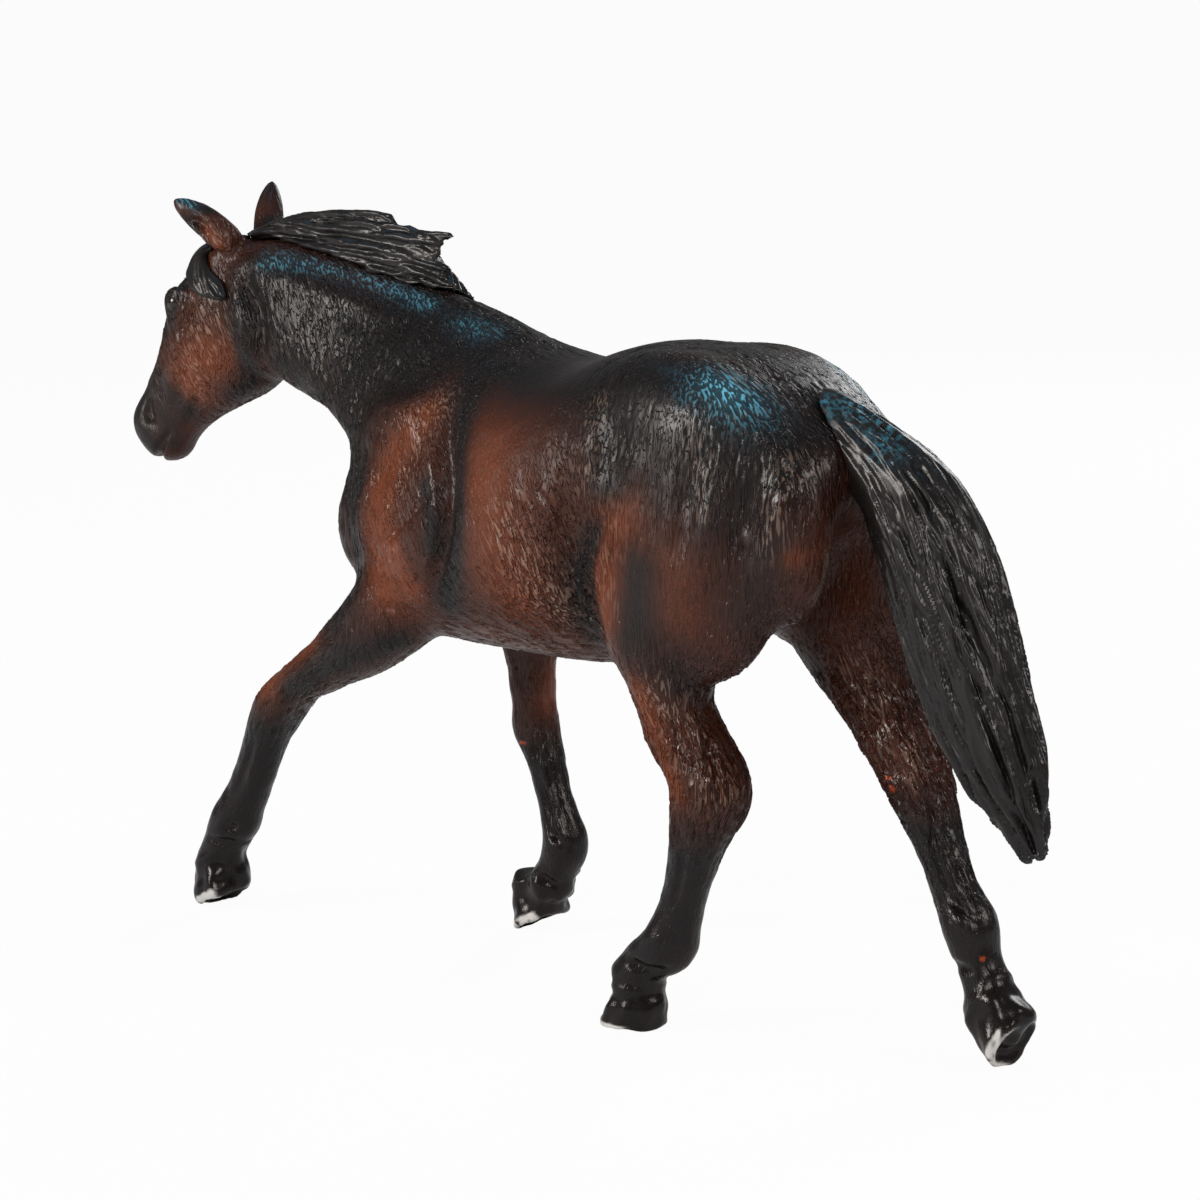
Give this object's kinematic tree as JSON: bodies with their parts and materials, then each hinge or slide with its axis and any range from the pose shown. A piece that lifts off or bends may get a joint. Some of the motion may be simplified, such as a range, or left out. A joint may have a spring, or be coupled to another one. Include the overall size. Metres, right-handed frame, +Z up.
{
  "type": "toy farm animal figure",
  "caption": "Moulded vinyl bay horse figure in a long stride, with separate limbs, head, mane, forelock and tail glued to the trunk.",
  "frame": {"origin": "on the ground under the middle of the figure's outline", "axes": "+Z up, the horse faces -X, its left side faces -Y"},
  "size_m": [0.158, 0.0368, 0.1013],
  "materials": {
    "bay_coat": "moulded fur texture, airbrushed bay paint with black points, semi-gloss",
    "black_hair": "moulded hair strands, black paint, semi-gloss"
  },
  "bodies": {
    "root": {"torso": "bay_coat", "head": "bay_coat", "left_foreleg": "bay_coat", "right_foreleg": "bay_coat", "left_hind_leg": "bay_coat", "right_hind_leg": "bay_coat", "mane": "black_hair", "forelock": "black_hair", "tail": "black_hair"}
  },
  "joints": []
}
